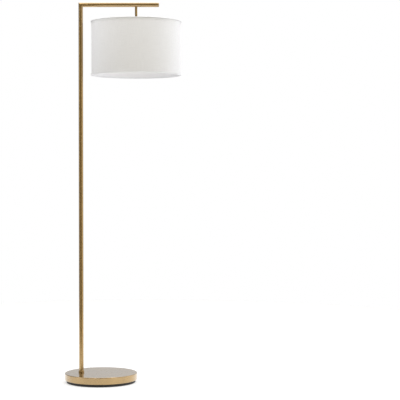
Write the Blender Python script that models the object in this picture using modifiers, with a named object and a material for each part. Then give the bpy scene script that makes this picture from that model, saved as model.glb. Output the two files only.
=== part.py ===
"""Downbridge floor lamp with a hanging drum shade, as separate pieces on their real joints.

Metres, +Z up. The origin is on the floor at the centre of the round base, and +X runs along
the arm, from the pole towards the shade. Pieces that touch keep a gap of 0.3 mm.
"""

import math

import bmesh
import bpy
from mathutils import Matrix, Vector

# Driving dimensions.
LAMP_HEIGHT = 1.520
TUBE_RADIUS = 0.009
TUBE_WALL = 0.001
ARM_LENGTH = 0.322
BASE_RADIUS = 0.145
BASE_HEIGHT = 0.038
POLE_OFFSET = 0.079
STEM_REACH = 0.2214
SHADE_RADIUS = 0.1815
SHADE_HEIGHT = 0.215
SHADE_DROP = 0.058
GAP = 0.0003

# Places that follow from them.
POLE_X = -POLE_OFFSET
ARM_Z = LAMP_HEIGHT - TUBE_RADIUS
ARM_END_X = POLE_X - TUBE_RADIUS + ARM_LENGTH
STEM_X = POLE_X + STEM_REACH
SHADE_TOP = LAMP_HEIGHT - 2 * TUBE_RADIUS - SHADE_DROP
SHADE_BOTTOM = SHADE_TOP - SHADE_HEIGHT
TUBE_BORE = TUBE_RADIUS - TUBE_WALL

# Threaded rod, inserts and leads that run through the whole lamp.
THREAD_RADIUS = 0.005
THREAD_BORE = 0.0035
THREAD_HOLE = THREAD_RADIUS + GAP
INSERT_LENGTH = 0.012
STUD_LENGTH = 0.011
LEAD_RADIUS = 0.002
STEM_LEAD_RADIUS = 0.0016

# Base, from the floor up.
PAD_RADIUS = BASE_RADIUS - 0.007
PAD_TOP = 0.0102
PAD_FLOOR = 0.0035
PAD_RECESS = 0.122
COVER_BOTTOM = PAD_TOP + GAP
COVER_WALL = 0.0012
COVER_ROUND = 0.002
COVER_LIP = 0.132
WEIGHT_RADIUS = 0.128
WEIGHT_BOTTOM = 0.0245
WEIGHT_TOP = BASE_HEIGHT - COVER_WALL - GAP
BUSHING_Z = 0.0190
BUSHING_RADIUS = 0.0048
NIPPLE_BOTTOM = 0.0115
WASHER_THICKNESS = 0.0015
NUT_HEIGHT = 0.006
SCREW_CIRCLE = 0.095
SCREW_ANGLES = (30, 150, 270)
SCREW_RADIUS = 0.002
SCREW_TIP = 0.032

# Pole.
GASKET_THICKNESS = 0.001
COLLAR_SKIRT = 0.0009
COLLAR_RADIUS = 0.0115
COLLAR_HEIGHT = 0.0065
COLLAR_FLOOR = 0.002
COLLAR_BOTTOM = BASE_HEIGHT + GASKET_THICKNESS + 2 * GAP
POLE_BOTTOM = COLLAR_BOTTOM + COLLAR_FLOOR + GAP
LEG_LENGTH = 0.086
LEG_BOTTOM = ARM_Z - LEG_LENGTH
SECTION_NAMES = ("lower", "middle", "upper")
SECTION_LENGTH = (LEG_BOTTOM - POLE_BOTTOM) / len(SECTION_NAMES) - GAP

# Swivel inside the arm, and the stem that hangs from it.
CAP_HEAD = 0.008
CAP_ROUND = 0.003
BALL_RADIUS = 0.0065
BALL_BORE = 0.0025
BALL_NECK = 0.0037
SEAT_LENGTH = 0.026
SEAT_RADIUS = TUBE_BORE - GAP
SLOT_HALF_WIDTH = 0.0055
SLOT_INNER_X = -0.0008
SLOT_OUTER_X = 0.0025
STEM_RADIUS = 0.005
STEM_BORE = 0.004
STEM_TOP = ARM_Z - 0.0063

# Lamp holder, from its cap down. The fitter's hub is clamped between flange and ring.
HOLDER_TOP = SHADE_TOP - 0.008
HOLDER_CAP_HEIGHT = 0.022
HOLDER_RADIUS = 0.0185
CHAMBER_RADIUS = 0.015
CHAMBER_FLOOR = HOLDER_TOP - 0.046
FLANGE_TOP = HOLDER_TOP - 0.0478
FLANGE_HEIGHT = 0.003
FLANGE_RADIUS = 0.0225
HOLDER_THREAD = 0.0195
HOLDER_MOUTH = HOLDER_TOP - 0.084
SHELL_RADIUS = 0.0145
HUB_RADIUS = 0.024
HUB_THICKNESS = 0.003
RING_HEIGHT = 0.0057
RING_RADIUS = 0.0235
STEM_BOTTOM = HOLDER_TOP - 0.010
STEM_NUT_HEIGHT = 0.004
KNOB_Z = HOLDER_TOP - 0.036
KNOB_RADIUS = 0.008
KNOB_LENGTH = 0.012
SPINDLE_RADIUS = 0.0025

# Bulb, hanging cap up in the holder.
BULB_TOP = HOLDER_TOP - 0.0548
BULB_RADIUS = 0.030
BULB_LENGTH = 0.1112
BULB_CAP_RADIUS = 0.0132

# Shade.
HEM_HEIGHT = 0.009
HEM_PROUD = 0.003
FABRIC_RADIUS = SHADE_RADIUS - HEM_PROUD
FABRIC_THICKNESS = 0.0006
LINER_THICKNESS = 0.0005
WIRE_RADIUS = 0.00175
HEM_SKIN = 0.0015
SPOKES = 3

# Facets round a full turn.
FINE = 60
MEDIUM = 24
COARSE = 12
WIRE_FACETS = 6


def start_clean():
    """Empties the scene, and returns the collection of parts and the one of cutters."""
    for thing in list(bpy.data.objects):
        bpy.data.objects.remove(thing)
    made = []
    for name in ("floor_lamp", "cutters"):
        collection = bpy.data.collections.new(name)
        bpy.context.scene.collection.children.link(collection)
        made.append(collection)
    return made


PARTS, CUTTERS = start_clean()


def material(name, colour, roughness, metallic=0.0):
    found = bpy.data.materials.get(name)
    if found:
        return found
    made = bpy.data.materials.new(name)
    made.use_nodes = True
    shader = made.node_tree.nodes["Principled BSDF"]
    shader.inputs["Base Color"].default_value = (*colour, 1.0)
    shader.inputs["Roughness"].default_value = roughness
    shader.inputs["Metallic"].default_value = metallic
    made.diffuse_color = (*colour, 1.0)
    return made


BRASS = material("satin_brass", (0.55, 0.42, 0.22), 0.32, 1.0)
STEEL = material("zinc_steel", (0.62, 0.62, 0.60), 0.35, 1.0)
IRON = material("cast_iron", (0.18, 0.18, 0.18), 0.7, 0.6)
BLACK = material("black_plastic", (0.02, 0.02, 0.02), 0.55)
RUBBER = material("black_rubber", (0.015, 0.015, 0.015), 0.8)
NYLON = material("white_nylon", (0.85, 0.85, 0.82), 0.45)
LEAD = material("lead_sheath", (0.75, 0.68, 0.50), 0.5)
FABRIC = material("white_fabric", (0.86, 0.85, 0.82), 0.9)
LINER = material("white_styrene", (0.90, 0.90, 0.88), 0.6)
WHITE_WIRE = material("white_wire", (0.85, 0.85, 0.85), 0.4)
FROSTED = material("frosted_dome", (0.92, 0.92, 0.90), 0.35)


def add(name, mesh, paint, at=(0, 0, 0), turn=None):
    """Puts a mesh in the scene as one named piece, or as a cutter if it has no paint."""
    piece = bpy.data.objects.new(name, mesh)
    (PARTS if paint else CUTTERS).objects.link(piece)
    piece.location = at
    if turn:
        piece.rotation_euler = turn
    if paint:
        mesh.materials.append(paint)
    else:
        piece.hide_render = True
        piece.display_type = "WIRE"
    return piece


def turned(name, profile, paint, at=(0, 0, 0), turn=None, facets=MEDIUM, ring=False):
    """A lathe shape. The profile of (radius, height) runs down its outer side; a ring's closes."""
    mesh = bpy.data.meshes.new(name)
    edges = [(i, i + 1) for i in range(len(profile) - 1)]
    if ring:
        edges.append((len(profile) - 1, 0))
    mesh.from_pydata([(radius, 0, height) for radius, height in profile], edges, [])
    piece = add(name, mesh, paint, at, turn)
    screw = piece.modifiers.new("lathe", "SCREW")
    screw.steps = screw.render_steps = facets
    screw.use_merge_vertices = True
    screw.merge_threshold = 0.00001
    screw.use_smooth_shade = True
    return piece


def washer(name, outer, inner, bottom, top, paint, at=(0, 0, 0), turn=None, facets=MEDIUM):
    profile = [(outer, top), (outer, bottom), (inner, bottom), (inner, top)]
    return turned(name, profile, paint, at, turn, facets, ring=True)


def rod(name, radius, bottom, top, paint, at=(0, 0, 0), turn=None, facets=MEDIUM):
    profile = [(0, top), (radius, top), (radius, bottom), (0, bottom)]
    return turned(name, profile, paint, at, turn, facets)


def arc(centre, radius, start, end, steps):
    """Points of (radius, height) on an arc, by angle in degrees from the outward direction."""
    angles = [math.radians(start + (end - start) * i / steps) for i in range(steps + 1)]
    return [(centre[0] + radius * math.cos(a), centre[1] + radius * math.sin(a)) for a in angles]


def from_bmesh(name, shape, paint, at=(0, 0, 0), turn=None):
    bmesh.ops.recalc_face_normals(shape, faces=shape.faces)
    mesh = bpy.data.meshes.new(name)
    shape.to_mesh(mesh)
    shape.free()
    mesh.shade_smooth()
    mesh.set_sharp_from_angle(angle=math.radians(35))
    return add(name, mesh, paint, at, turn)


def block(name, size, paint, at, turn=None):
    shape = bmesh.new()
    bmesh.ops.create_cube(shape, size=1.0, matrix=Matrix.Diagonal((*size, 1.0)))
    return from_bmesh(name, shape, paint, at, turn)


def hexagon(name, across_flats, height, bore, paint, at):
    """A hex nut standing on its location, with a plain round bore."""
    shape = bmesh.new()
    bmesh.ops.create_cone(
        shape,
        cap_ends=True,
        segments=6,
        radius1=across_flats / math.sqrt(3),
        radius2=across_flats / math.sqrt(3),
        depth=height,
        matrix=Matrix.Translation((0, 0, height / 2)),
    )
    nut = from_bmesh(name, shape, paint, at)
    cut(nut, rod(name + "_bore", bore, -height, 2 * height, None, at))
    return nut


def wire(name, points, radius, paint, closed=False):
    """A round wire or lead along the given points."""
    line = bpy.data.curves.new(name, "CURVE")
    line.dimensions = "3D"
    line.bevel_depth = radius
    line.bevel_resolution = (WIRE_FACETS - 4) // 2
    line.use_fill_caps = not closed
    spline = line.splines.new("POLY")
    spline.points.add(len(points) - 1)
    for place, point in zip(spline.points, points):
        place.co = (*point, 1.0)
    spline.use_cyclic_u = closed
    line.materials.append(paint)
    piece = bpy.data.objects.new(name, line)
    PARTS.objects.link(piece)
    return piece


def boolean(piece, other, operation):
    modifier = piece.modifiers.new(other.name, "BOOLEAN")
    modifier.object = other
    modifier.operation = operation
    modifier.solver = "EXACT"


def cut(piece, cutter):
    boolean(piece, cutter, "DIFFERENCE")


def fuse(piece, other):
    boolean(piece, other, "UNION")


def pivot(name, at):
    """An empty on a joint's axis, for the pieces that move with it."""
    empty = bpy.data.objects.new(name, None)
    PARTS.objects.link(empty)
    empty.location = at
    return empty


def carry(parent, pieces):
    """Parents pieces that are already in place."""
    bpy.context.view_layer.update()
    for piece in pieces:
        piece.parent = parent
        piece.matrix_parent_inverse = parent.matrix_world.inverted()


def rounded(points, samples):
    """A smooth curve through the points, as many samples to each stretch."""
    knots = [Vector(p) for p in points]
    ends = [2 * knots[0] - knots[1]] + knots + [2 * knots[-1] - knots[-2]]
    smooth = []
    for a, b, c, d in zip(ends, ends[1:], ends[2:], ends[3:]):
        for i in range(samples):
            t = i / samples
            smooth.append(
                0.5
                * (
                    2 * b
                    + (c - a) * t
                    + (2 * a - 5 * b + 4 * c - d) * t**2
                    + (3 * b - a - 3 * c + d) * t**3
                )
            )
    return smooth + [knots[-1]]


def quarter_turn(corner, before, after, radius, steps=6):
    """The points of a round bend at a corner, between the directions before and after it."""
    centre = Vector(corner) - Vector(before) * radius + Vector(after) * radius
    angles = [math.pi / 2 * i / steps for i in range(steps + 1)]
    return [
        centre + radius * (Vector(before) * math.sin(a) - Vector(after) * math.cos(a))
        for a in angles
    ]


# Base ---------------------------------------------------------------------------------------


def screw_places():
    angles = [math.radians(angle) for angle in SCREW_ANGLES]
    return [(SCREW_CIRCLE * math.cos(a), SCREW_CIRCLE * math.sin(a)) for a in angles]


def base_pad():
    """Moulded tray that carries the lamp on the floor, with a boss round each screw."""
    edge = 0.0012
    profile = [
        (0, PAD_FLOOR),
        (PAD_RECESS, PAD_FLOOR),
        (PAD_RECESS, PAD_TOP),
        (PAD_RADIUS - edge, PAD_TOP),
        (PAD_RADIUS, PAD_TOP - edge),
        (PAD_RADIUS, edge),
        (PAD_RADIUS - edge, 0),
        (0, 0),
    ]
    pad = turned("base_pad", profile, BLACK, facets=FINE)
    boss_radius = 0.006
    head_depth = 0.0026
    head_hole = 0.0045
    for i, (x, y) in enumerate(screw_places()):
        at = (x, y, 0)
        boss_foot = PAD_FLOOR / 2
        boss_top = WEIGHT_BOTTOM - GAP
        fuse(pad, rod(f"boss_{i}", boss_radius, boss_foot, boss_top, None, at, facets=COARSE))
        cut(pad, rod(f"clear_{i}", SCREW_RADIUS + GAP, -0.01, 0.04, None, at, facets=12))
        cut(pad, rod(f"sink_{i}", head_hole, -0.01, head_depth, None, at, facets=COARSE))


def pad_screws():
    head_radius = 0.004
    head_bottom = 0.0006
    head_top = 0.0023
    for i, (x, y) in enumerate(screw_places()):
        profile = [
            (0, SCREW_TIP),
            (SCREW_RADIUS, SCREW_TIP),
            (SCREW_RADIUS, head_top),
            (head_radius, head_top),
            (head_radius, head_bottom + 0.0005),
            (head_radius * 0.7, head_bottom),
            (0, head_bottom),
        ]
        turned(f"pad_screw_{i + 1}", profile, STEEL, (x, y, 0), facets=12)


def base_cover():
    """Plated steel shell with a rounded top edge and a lip rolled in under it."""
    inside = BASE_RADIUS - COVER_WALL
    top = BASE_HEIGHT
    outer_round = arc((BASE_RADIUS - COVER_ROUND, top - COVER_ROUND), COVER_ROUND, 90, 0, 2)
    lip_round = 0.0015
    lip_centre = (BASE_RADIUS - lip_round, COVER_BOTTOM + lip_round)
    profile = [(0, top)] + outer_round + arc(lip_centre, lip_round, 0, -90, 1)
    profile += [
        (COVER_LIP, COVER_BOTTOM),
        (COVER_LIP, COVER_BOTTOM + COVER_WALL),
        (inside, COVER_BOTTOM + COVER_WALL),
        (inside, top - COVER_WALL),
        (0, top - COVER_WALL),
    ]
    cover = turned("base_cover", profile, BRASS, facets=FINE)
    cut(cover, rod("cover_hole", THREAD_HOLE, 0, 0.1, None, (POLE_X, 0, 0)))
    back = (0, BASE_RADIUS, BUSHING_Z)
    to_back = (math.radians(90), 0, 0)
    cut(cover, rod("cord_hole", BUSHING_RADIUS, -0.008, 0.008, None, back, to_back))


def base_weight():
    chamfer = 0.002
    profile = [
        (0, WEIGHT_TOP),
        (WEIGHT_RADIUS - chamfer, WEIGHT_TOP),
        (WEIGHT_RADIUS, WEIGHT_TOP - chamfer),
        (WEIGHT_RADIUS, WEIGHT_BOTTOM),
        (0, WEIGHT_BOTTOM),
    ]
    weight = turned("base_weight", profile, IRON, facets=FINE)
    cut(weight, rod("weight_hole", THREAD_HOLE + 0.0005, 0, 0.1, None, (POLE_X, 0, 0)))
    for i, (x, y) in enumerate(screw_places()):
        depth = SCREW_TIP + 0.0005
        cut(weight, rod(f"tapped_{i}", SCREW_RADIUS + GAP, 0.01, depth, None, (x, y, 0), facets=12))


def base_fixings():
    """The hollow threaded rod through the base, with its washer and nut underneath."""
    foot = (POLE_X, 0, 0)
    nipple_top = POLE_BOTTOM + 0.020
    washer_top = WEIGHT_BOTTOM - GAP
    washer_bottom = washer_top - WASHER_THICKNESS
    nut_bottom = washer_bottom - GAP - NUT_HEIGHT
    washer("base_nipple", THREAD_RADIUS, THREAD_BORE, NIPPLE_BOTTOM, nipple_top, STEEL, foot)
    washer("base_washer", 0.012, THREAD_HOLE, washer_bottom, washer_top, STEEL, foot)
    hexagon("base_nut", 0.017, NUT_HEIGHT, THREAD_HOLE, STEEL, (POLE_X, 0, nut_bottom))


def cord_entry():
    """The bushing in the back of the cover, and the terminal block behind it."""
    flange = 0.0065
    flange_thickness = 0.0015
    bore = 0.0034
    neck = BUSHING_RADIUS - GAP
    depth = 0.0085
    profile = [
        (flange * 0.85, flange_thickness + GAP),
        (flange, flange_thickness * 0.5 + GAP),
        (flange, GAP),
        (neck, GAP),
        (neck, -depth),
        (bore, -depth),
        (bore, flange_thickness + GAP),
    ]
    back = (0, BASE_RADIUS, BUSHING_Z)
    towards_back = (math.radians(-90), 0, 0)
    turned("cord_bushing", profile, BLACK, back, towards_back, ring=True)
    block("terminal_block", (0.020, 0.014, 0.009), NYLON, (0, 0.105, 0.0085))


# Pole ---------------------------------------------------------------------------------------


def foot():
    """Socket that carries the pole, with its gasket in a recess underneath."""
    bottom = BASE_HEIGHT + GAP
    at = (POLE_X, 0, 0)
    recess = COLLAR_RADIUS - COLLAR_SKIRT
    gasket_top = bottom + GASKET_THICKNESS
    washer("foot_gasket", recess - GAP, THREAD_HOLE, bottom, gasket_top, RUBBER, at)
    top = COLLAR_BOTTOM + COLLAR_HEIGHT
    edge = 0.0008
    socket = TUBE_RADIUS + GAP
    profile = [
        (socket, top),
        (COLLAR_RADIUS - edge, top),
        (COLLAR_RADIUS, top - edge),
        (COLLAR_RADIUS, bottom),
        (recess, bottom),
        (recess, COLLAR_BOTTOM),
        (THREAD_HOLE, COLLAR_BOTTOM),
        (THREAD_HOLE, COLLAR_BOTTOM + COLLAR_FLOOR),
        (socket, COLLAR_BOTTOM + COLLAR_FLOOR),
    ]
    turned("foot_collar", profile, BRASS, at, ring=True)


def insert(name, bottom):
    """The threaded ring pressed into a tube's lower end."""
    top = bottom + INSERT_LENGTH
    at = (POLE_X, 0, 0)
    washer(name, TUBE_BORE - GAP, THREAD_HOLE, bottom, top, STEEL, at)


def coupler(name, top):
    """The plug pressed into a tube's upper end, with a hollow threaded stud on it."""
    profile = [
        (THREAD_BORE, top + STUD_LENGTH),
        (THREAD_RADIUS, top + STUD_LENGTH),
        (THREAD_RADIUS, top),
        (TUBE_BORE - GAP, top),
        (TUBE_BORE - GAP, top - INSERT_LENGTH),
        (THREAD_BORE, top - INSERT_LENGTH),
    ]
    turned(name, profile, STEEL, (POLE_X, 0, 0), ring=True)


def pole():
    """Three tubes screwed end to end, the top one into the arm's leg."""
    recess = 0.0005
    bottom = POLE_BOTTOM
    for name in SECTION_NAMES:
        top = bottom + SECTION_LENGTH
        washer(f"pole_{name}", TUBE_RADIUS, TUBE_BORE, bottom, top, BRASS, (POLE_X, 0, 0))
        insert(f"insert_{name}", bottom + recess)
        coupler(f"coupler_{name}", top - recess)
        bottom = top + GAP
    insert("insert_arm", LEG_BOTTOM + recess)


# Arm and swivel -----------------------------------------------------------------------------


def open_tube(shape, length, place, mitre):
    """A tube wall without ends, cut off by the mitre plane."""
    made = bmesh.ops.create_cone(
        shape,
        cap_ends=False,
        segments=MEDIUM,
        radius1=TUBE_RADIUS,
        radius2=TUBE_RADIUS,
        depth=length,
        matrix=place,
    )
    verts = made["verts"]
    edges = {edge for vert in verts for edge in vert.link_edges}
    faces = {face for vert in verts for face in vert.link_faces}
    corner, normal = mitre
    bmesh.ops.bisect_plane(
        shape,
        geom=[*verts, *edges, *faces],
        plane_co=corner,
        plane_no=normal,
        clear_outer=True,
    )


def arm():
    """Leg and arm, cut at 45 degrees and welded, with a slot under the swivel."""
    corner = Vector((POLE_X, 0, ARM_Z))
    across = Vector((1, 0, 1))
    end = ARM_END_X - CAP_HEAD - GAP
    past = 2 * TUBE_RADIUS
    shape = bmesh.new()
    leg_length = ARM_Z + past - LEG_BOTTOM
    upright = Matrix.Translation((POLE_X, 0, LEG_BOTTOM + leg_length / 2))
    open_tube(shape, leg_length, upright, (corner, across))
    arm_length = end - (POLE_X - past)
    lying = Matrix.Translation((end - arm_length / 2, 0, ARM_Z)) @ Matrix.Rotation(
        math.radians(90), 4, "Y"
    )
    open_tube(shape, arm_length, lying, (corner, -across))
    bmesh.ops.remove_doubles(shape, verts=shape.verts, dist=0.00001)
    piece = from_bmesh("arm", shape, BRASS)
    wall = piece.modifiers.new("wall", "SOLIDIFY")
    wall.thickness = TUBE_WALL
    wall.offset = -1
    wall.use_even_offset = True
    cut(piece, slot("arm_slot"))


def slot(name):
    """Cutter for the long hole under the ball: a cylinder with its halves moved apart.

    The hole's ends stop the stem just past the limits of its tilt.
    """
    shape = bmesh.new()
    bmesh.ops.create_cone(
        shape,
        cap_ends=True,
        segments=MEDIUM,
        radius1=SLOT_HALF_WIDTH,
        radius2=SLOT_HALF_WIDTH,
        depth=2 * TUBE_RADIUS,
        matrix=Matrix.Translation((0, 0, -TUBE_RADIUS)) @ Matrix.Rotation(math.pi / MEDIUM, 4, "Z"),
    )
    for vert in shape.verts:
        vert.co.x += SLOT_OUTER_X if vert.co.x > 0 else SLOT_INNER_X
    return from_bmesh(name, shape, None, (STEM_X, 0, ARM_Z))


def end_cap():
    """Plug with a round-edged head that closes the arm."""
    spigot = 0.008
    profile = [(0, CAP_HEAD)]
    profile += arc((TUBE_RADIUS - CAP_ROUND, CAP_HEAD - CAP_ROUND), CAP_ROUND, 90, 0, 4)
    profile += [(TUBE_RADIUS, 0), (SEAT_RADIUS, 0), (SEAT_RADIUS, -spigot), (0, -spigot)]
    outwards = (0, math.radians(90), 0)
    at = (ARM_END_X - CAP_HEAD, 0, ARM_Z)
    turned("arm_end_cap", profile, BRASS, at, outwards)


def swivel_half(name, side):
    """Half of the round plug that holds the ball: side is 1 above it and -1 below."""
    centre = (STEM_X, 0, ARM_Z)
    along = (0, math.radians(90), 0)
    half = rod(name, SEAT_RADIUS, -SEAT_LENGTH / 2, SEAT_LENGTH / 2, STEEL, centre, along)
    keep_off = 0.010
    away = (STEM_X, 0, ARM_Z - side * (keep_off - GAP / 2))
    cut(half, block(name + "_split", (0.04, 0.03, 2 * keep_off), None, away))
    socket = BALL_RADIUS + GAP
    cut(half, turned(name + "_ball", arc((0, 0), socket, 90, -90, 8), None, centre, facets=COARSE))
    cut(half, rod(name + "_lead", THREAD_BORE, -0.02, 0, None, centre, along, facets=COARSE))
    return half


def swivel():
    swivel_half("swivel_cap", 1)
    cut(swivel_half("swivel_seat", -1), slot("seat_slot"))
    neck_angle = -math.degrees(math.acos(BALL_NECK / BALL_RADIUS))
    neck_bottom = -0.014
    profile = arc((0, 0), BALL_RADIUS, 90, neck_angle, 7)
    profile += [(BALL_NECK, neck_bottom), (BALL_BORE, neck_bottom), (BALL_BORE, 0), (0, 0)]
    centre = (STEM_X, 0, ARM_Z)
    ball = turned("swivel_ball", profile, STEEL, centre, facets=COARSE)
    sideways = (0, math.radians(90), 0)
    cut(ball, rod("ball_entry", BALL_BORE * 0.98, -0.01, 0, None, centre, sideways, facets=12))
    axis = (STEM_X, 0, 0)
    stem = washer("drop_stem", STEM_RADIUS, STEM_BORE, STEM_BOTTOM, STEM_TOP, BRASS, axis)
    nut_z = STEM_BOTTOM + 0.001
    nut = hexagon("stem_nut", 0.014, STEM_NUT_HEIGHT, STEM_RADIUS + GAP, STEEL, (STEM_X, 0, nut_z))
    return [ball, stem, nut]


# Leads --------------------------------------------------------------------------------------


def leads():
    """The twin lead from the terminal block to the swivel, and on down the stem."""
    east, up, down = (1, 0, 0), (0, 0, 1), (0, 0, -1)
    run_z = PAD_FLOOR + LEAD_RADIUS + 0.0007
    bend = 0.005
    foot_corner = Vector((POLE_X, 0, run_z))
    heading = Vector((-0.8, -0.6, 0))
    across = [
        (0, 0.0975, 0.0085),
        (-0.001, 0.086, 0.0075),
        (-0.014, 0.062, run_z),
        foot_corner - heading * 0.030,
        foot_corner - heading * 0.012,
    ]
    route = rounded(across, 4)
    route += quarter_turn(foot_corner, heading, up, bend)
    route += quarter_turn((POLE_X, 0, ARM_Z), up, east, 0.012)
    route += [(STEM_X - BALL_RADIUS - 2 * GAP, 0, ARM_Z)]
    wire("lead_lower", route, LEAD_RADIUS, LEAD)
    pivot_point = (STEM_X, 0, ARM_Z)
    drop = [(STEM_X - BALL_RADIUS + GAP, 0, ARM_Z)]
    drop += quarter_turn(pivot_point, east, down, 0.004, 4)
    drop += [(STEM_X, 0, STEM_BOTTOM - 0.014)]
    return wire("lead_upper", drop, STEM_LEAD_RADIUS, LEAD)


# Lamp holder --------------------------------------------------------------------------------


def holder():
    """Cap, moulded body, screw shell, contact and the ring that clamps the shade's hub."""
    at = (STEM_X, 0, 0)
    cap_bottom = HOLDER_TOP - HOLDER_CAP_HEIGHT
    wall = 0.0008
    hole = STEM_RADIUS + GAP
    crown = 0.012
    outer = arc((HOLDER_RADIUS - crown, HOLDER_TOP - crown), crown, 90, 0, 5)
    inner = arc((HOLDER_RADIUS - crown, HOLDER_TOP - crown), crown - wall, 0, 90, 5)
    profile = [(hole, HOLDER_TOP)] + outer + [(HOLDER_RADIUS, cap_bottom)]
    profile += [(HOLDER_RADIUS - wall, cap_bottom)] + inner + [(hole, HOLDER_TOP - wall)]
    cap = turned("holder_cap", profile, BRASS, at, ring=True)

    wire_hole = 0.003
    floor_bottom = CHAMBER_FLOOR - 0.0055
    flange_bottom = FLANGE_TOP - FLANGE_HEIGHT
    profile = [
        (CHAMBER_RADIUS, cap_bottom - GAP),
        (HOLDER_RADIUS, cap_bottom - GAP),
        (HOLDER_RADIUS, FLANGE_TOP),
        (FLANGE_RADIUS, FLANGE_TOP),
        (FLANGE_RADIUS, flange_bottom),
        (HOLDER_THREAD, flange_bottom),
        (HOLDER_THREAD, HOLDER_MOUTH),
        (CHAMBER_RADIUS, HOLDER_MOUTH),
        (CHAMBER_RADIUS, floor_bottom),
        (wire_hole, floor_bottom),
        (wire_hole, CHAMBER_FLOOR),
        (CHAMBER_RADIUS, CHAMBER_FLOOR),
    ]
    body = turned("holder_body", profile, BLACK, at, ring=True)
    knob_axis = (STEM_X, 0, KNOB_Z)
    outwards = (0, math.radians(90), 0)
    cut(body, rod("spindle_hole", SPINDLE_RADIUS + GAP, 0.010, 0.03, None, knob_axis, outwards))

    shell_top = floor_bottom - 0.0045
    shell_bottom = HOLDER_MOUTH + 0.0015
    skin = 0.0007
    shell_mouth = 0.009
    profile = [
        (shell_mouth, shell_top),
        (SHELL_RADIUS, shell_top),
        (SHELL_RADIUS, shell_bottom),
        (SHELL_RADIUS - skin, shell_bottom),
        (SHELL_RADIUS - skin, shell_top - skin),
        (shell_mouth, shell_top - skin),
    ]
    shell = turned("screw_shell", profile, BRASS, at, ring=True)

    contact_bottom = BULB_TOP + GAP
    contact_top = contact_bottom + 0.0007
    profile = [
        (0, floor_bottom - GAP),
        (0.002, floor_bottom - GAP),
        (0.002, contact_top),
        (0.0045, contact_top),
        (0.0045, contact_bottom),
        (0, contact_bottom),
    ]
    contact = turned("centre_contact", profile, BRASS, at, facets=COARSE)

    hub_top = flange_bottom - GAP
    ring_top = hub_top - HUB_THICKNESS - GAP
    bore = HOLDER_THREAD + GAP
    ring_lip = 0.0022
    profile = [
        (bore, ring_top),
        (RING_RADIUS, ring_top),
        (RING_RADIUS, ring_top - ring_lip),
        (RING_RADIUS - 0.002, ring_top - ring_lip),
        (RING_RADIUS - 0.002, ring_top - RING_HEIGHT),
        (bore, ring_top - RING_HEIGHT),
    ]
    ring = turned("shade_ring", profile, BLACK, at, ring=True)
    switch_size = (0.012, 0.012, 0.014)
    switch = block("switch_block", switch_size, BLACK, (STEM_X + 0.003, 0, KNOB_Z))
    return [cap, body, shell, contact, ring, switch], hub_top


def switch_knob():
    """Rotary switch's spindle, out through the holder's side, and its knob."""
    axis = (STEM_X, 0, KNOB_Z)
    outwards = (0, math.radians(90), 0)
    start = HOLDER_RADIUS + 0.001
    end = start + KNOB_LENGTH
    spindle_end = start + 0.009
    block_face = 0.009 + GAP
    spindle = rod(
        "switch_spindle", SPINDLE_RADIUS, block_face, spindle_end, STEEL, axis, outwards, COARSE
    )
    bore = SPINDLE_RADIUS + GAP
    edge = 0.0015
    profile = [(0, end)]
    profile += arc((KNOB_RADIUS - edge, end - edge), edge, 90, 0, 2)
    profile += [(KNOB_RADIUS, start), (bore, start), (bore, spindle_end + GAP), (0, spindle_end + GAP)]
    return [spindle, turned("switch_knob", profile, BLACK, axis, outwards, 18)]


def bulb():
    """Screw-in LED bulb: cap, insulator, contact, housing, frosted dome and its board."""
    at = (STEM_X, 0, 0)
    contact_thickness = 0.001
    insulator_top = BULB_TOP - contact_thickness - GAP
    insulator_bottom = insulator_top - 0.0024
    cap_top = insulator_bottom - GAP
    cap_bottom = BULB_TOP - 0.028
    skin = 0.0006
    neck = 0.0082
    profile = [
        (neck, cap_top),
        (BULB_CAP_RADIUS, cap_top - 0.003),
        (BULB_CAP_RADIUS, cap_bottom),
        (BULB_CAP_RADIUS - skin, cap_bottom),
        (BULB_CAP_RADIUS - skin, cap_top - 0.0034),
        (neck - skin, cap_top - skin),
    ]
    cap = turned("bulb_cap", profile, STEEL, at, ring=True)
    profile = [(0, insulator_top), (0.0045, insulator_top), (0.008, insulator_bottom)]
    insulator = turned("bulb_insulator", profile + [(0, insulator_bottom)], BLACK, at, facets=COARSE)
    contact = rod(
        "bulb_contact", 0.004, insulator_top + GAP, BULB_TOP, STEEL, at, facets=COARSE
    )

    housing_top = cap_bottom - GAP
    split = BULB_TOP - 0.068
    bottom = BULB_TOP - BULB_LENGTH
    wall = 0.0015
    collar = BULB_CAP_RADIUS + 0.0008
    rim = BULB_RADIUS - 0.0004
    flare = rounded([(collar, 0, housing_top), (0.019, 0, housing_top - 0.016), (rim, 0, split)], 3)
    outer = [(p.x, p.z) for p in flare]
    inner = [(p.x - wall, p.z) for p in reversed(flare)]
    housing = turned("bulb_housing", outer + inner, NYLON, at, ring=True)

    dome_top = split - GAP
    height = dome_top - bottom
    angles = [math.radians(15 * i) for i in range(7)]
    dome = [(rim * math.cos(a), dome_top - height * math.sin(a)) for a in angles]
    hollow = [
        ((rim - wall) * math.cos(a), dome_top - (height - wall) * math.sin(a))
        for a in reversed(angles)
    ]
    globe = turned("bulb_dome", hollow + dome, FROSTED, at)

    board_top = dome_top - 0.002
    board = rod("led_board", rim - 0.003, board_top - 0.0015, board_top, NYLON, at)
    return [cap, insulator, contact, housing, globe, board]


# Shade --------------------------------------------------------------------------------------


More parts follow.
